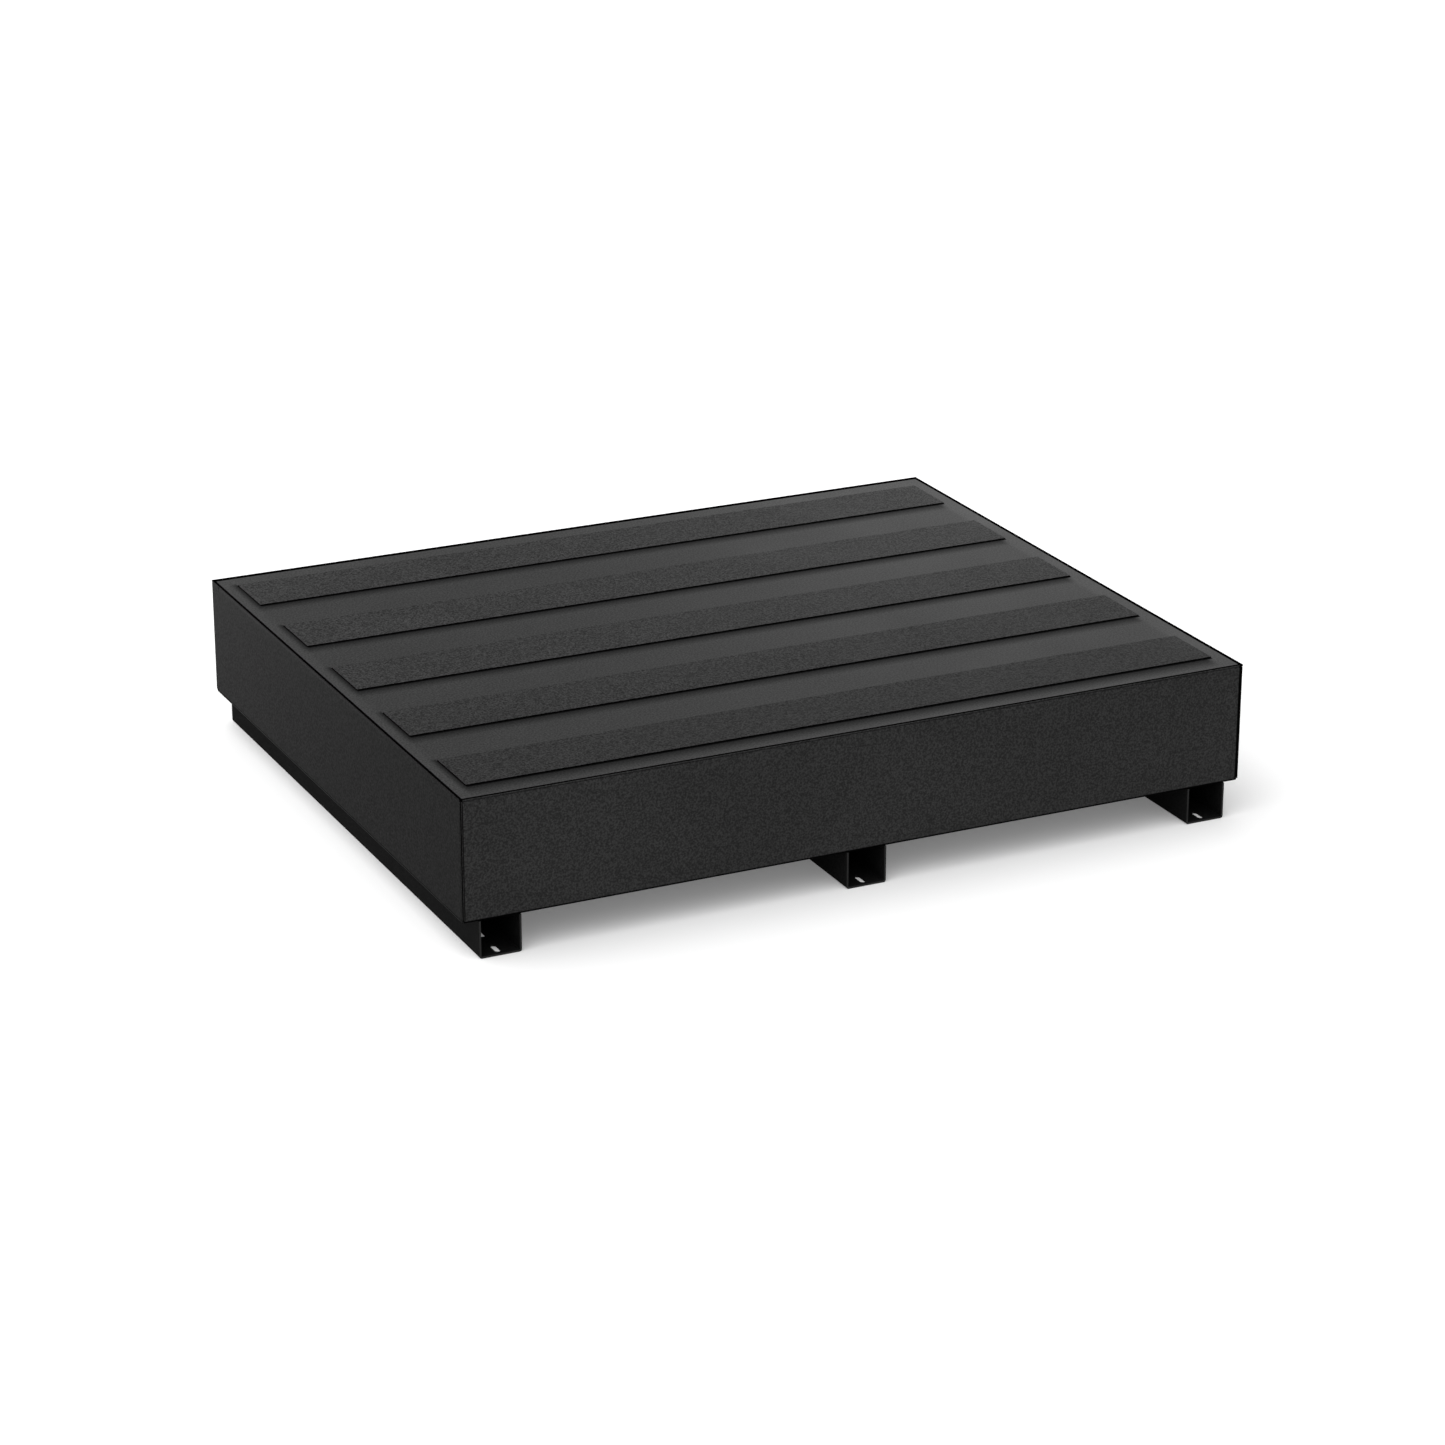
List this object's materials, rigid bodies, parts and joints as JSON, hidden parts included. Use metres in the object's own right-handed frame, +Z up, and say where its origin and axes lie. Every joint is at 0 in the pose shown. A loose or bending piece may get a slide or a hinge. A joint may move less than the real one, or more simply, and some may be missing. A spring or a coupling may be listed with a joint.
{
  "type": "spill containment pallet",
  "caption": "Low steel spill containment pallet: a folded sump box on channel runners, closed by a flat lift-off deck with anti-slip strips.",
  "frame": {"origin": "centre of the footprint, on the floor that the runners stand on", "axes": "+X to the right along the front wall, +Y to the rear, +Z up"},
  "size_m": [1.219, 1.003, 0.2367],
  "materials": {
    "box_coat": "matte black powder coat",
    "deck_coat": "matte black powder coat",
    "runner_coat": "matte black powder coat",
    "inner_coat": "matte black powder coat",
    "weld_coat": "powder coat over a weld bead",
    "grip_tape": "coarse mineral grit"
  },
  "bodies": {
    "base": {"sump_body": "box_coat", "side_panel_left": "box_coat", "side_panel_right": "box_coat", "corner_weld_left": "weld_coat", "corner_weld_right": "weld_coat", "runner_left": "runner_coat", "runner_middle": "runner_coat", "runner_right": "runner_coat", "runner_welds": "weld_coat", "deck_support_left": "inner_coat", "deck_support_middle": "inner_coat", "deck_support_right": "inner_coat", "support_welds": "weld_coat"},
    "deck": {"deck_plate": "deck_coat", "grip_strip_1": "grip_tape", "grip_strip_2": "grip_tape", "grip_strip_3": "grip_tape", "grip_strip_4": "grip_tape", "grip_strip_5": "grip_tape", "deck_stiffener_1": "inner_coat", "deck_stiffener_2": "inner_coat", "deck_stiffener_3": "inner_coat", "deck_stiffener_4": "inner_coat", "stiffener_welds": "weld_coat"}
  },
  "joints": [
    {"name": "deck_lift", "type": "slide", "parent": "base", "child": "deck", "axis": [0, 0, 1], "range_m": [0, 0.3]}
  ]
}
